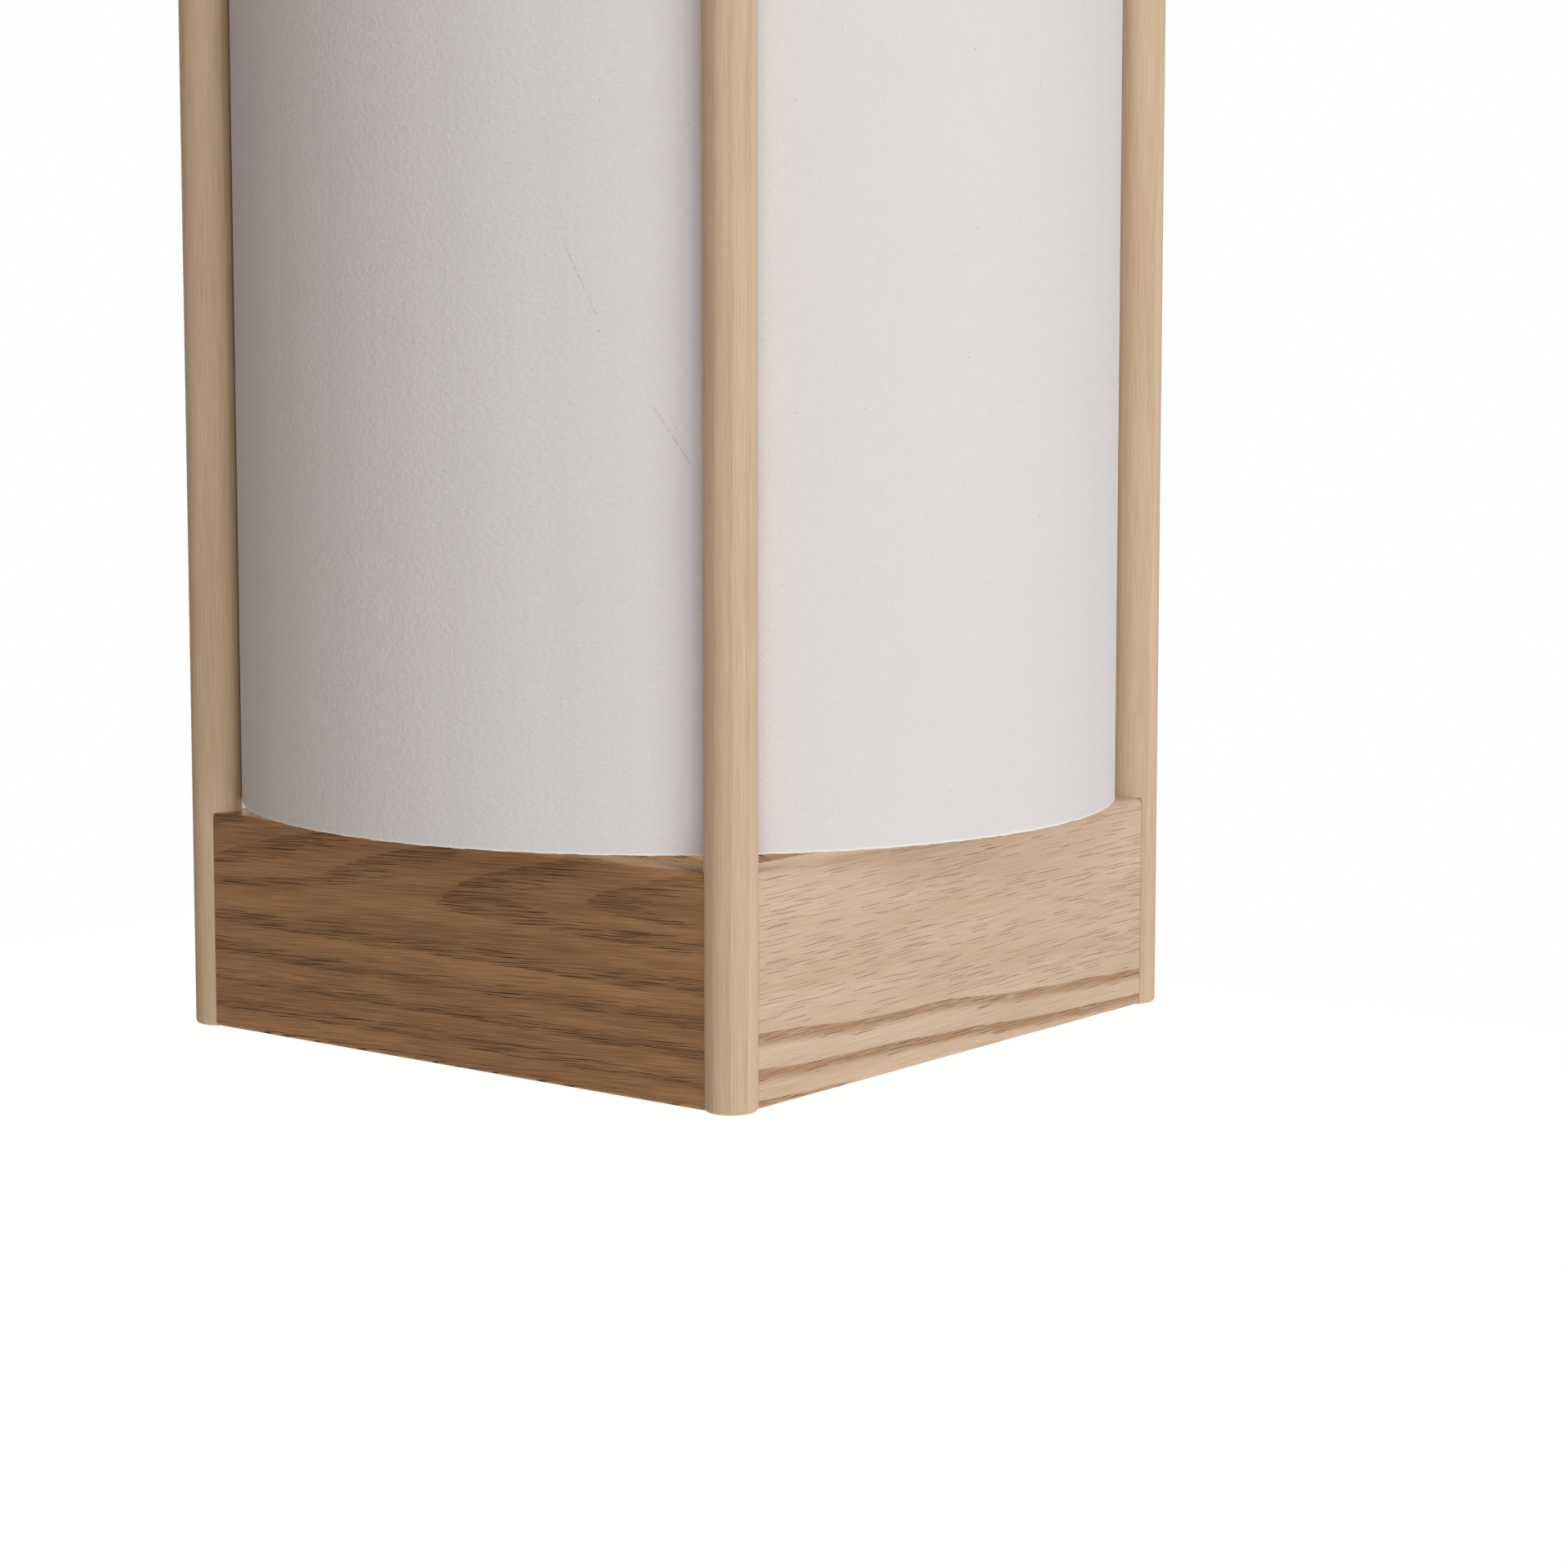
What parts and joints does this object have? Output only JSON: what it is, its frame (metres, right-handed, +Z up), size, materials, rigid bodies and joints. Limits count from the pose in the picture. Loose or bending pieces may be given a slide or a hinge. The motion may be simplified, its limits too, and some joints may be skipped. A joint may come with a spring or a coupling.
{
  "type": "pendant light",
  "caption": "Square wooden lantern pendant: round corner posts, wide rails and a plain off-white drum shade hung inside, lit by a screw-in bulb.",
  "frame": {"origin": "on the lamp's vertical axis, at the upper end of the cord hole in the cord grip, where the cord that holds the lamp comes out", "axes": "+Z up along the cord hole; -Y is the front rail's side; +X is the right rail's side; the crossbar runs along X"},
  "size_m": [0.285, 0.2856, 0.52],
  "materials": {
    "post_wood": "sanded pale hardwood, straight grain, clear matt oil",
    "rail_wood": "open-pored ring-porous hardwood, flat sawn, clear matt oil",
    "pin_wood": "plain beech pin",
    "shade_paper": "matt off-white laminated paper",
    "shade_wire": "white coated steel wire",
    "plated_steel": "zinc plated",
    "holder_plastic": "black moulded thermoset",
    "holder_ceramic": "white unglazed",
    "contact_brass": "plain",
    "bulb_insulator": "black moulded",
    "bulb_cap_metal": "nickel plated",
    "bulb_plastic": "white moulded",
    "bulb_board": "white solder resist",
    "bulb_opal": "opal diffuser"
  },
  "bodies": {
    "lamp": {"post_front_right": "post_wood", "post_back_right": "post_wood", "post_back_left": "post_wood", "post_front_left": "post_wood", "lower_rail_front": "rail_wood", "upper_rail_front": "rail_wood", "lower_rail_right": "rail_wood", "upper_rail_right": "rail_wood", "lower_rail_back": "rail_wood", "upper_rail_back": "rail_wood", "lower_rail_left": "rail_wood", "upper_rail_left": "rail_wood", "lower_rail_pins": "pin_wood", "upper_rail_pins": "pin_wood", "crossbar": "rail_wood", "threaded_tube": "plated_steel", "tube_washers": "plated_steel", "tube_nut": "plated_steel", "cord_grip": "holder_plastic", "cord_grip_screw": "plated_steel", "lampholder_cap": "holder_plastic", "lampholder_skirt": "holder_plastic", "shade_ring_nut": "holder_plastic", "lampholder_core": "holder_ceramic", "lampholder_screw_shell": "contact_brass", "lampholder_contact": "contact_brass", "terminal_screws": "plated_steel", "shade_sheet": "shade_paper", "shade_spider": "shade_wire", "shade_bottom_ring": "shade_wire"},
    "bulb": {"bulb_tip": "contact_brass", "bulb_insulator": "bulb_insulator", "bulb_cap": "bulb_cap_metal", "bulb_collar": "bulb_plastic", "bulb_led_board": "bulb_board", "bulb_globe": "bulb_opal"}
  },
  "joints": [
    {"name": "bulb_unscrew", "type": "slide", "parent": "lamp", "child": "bulb", "axis": [0, 0, -1], "range_m": [0, 0.44]}
  ]
}
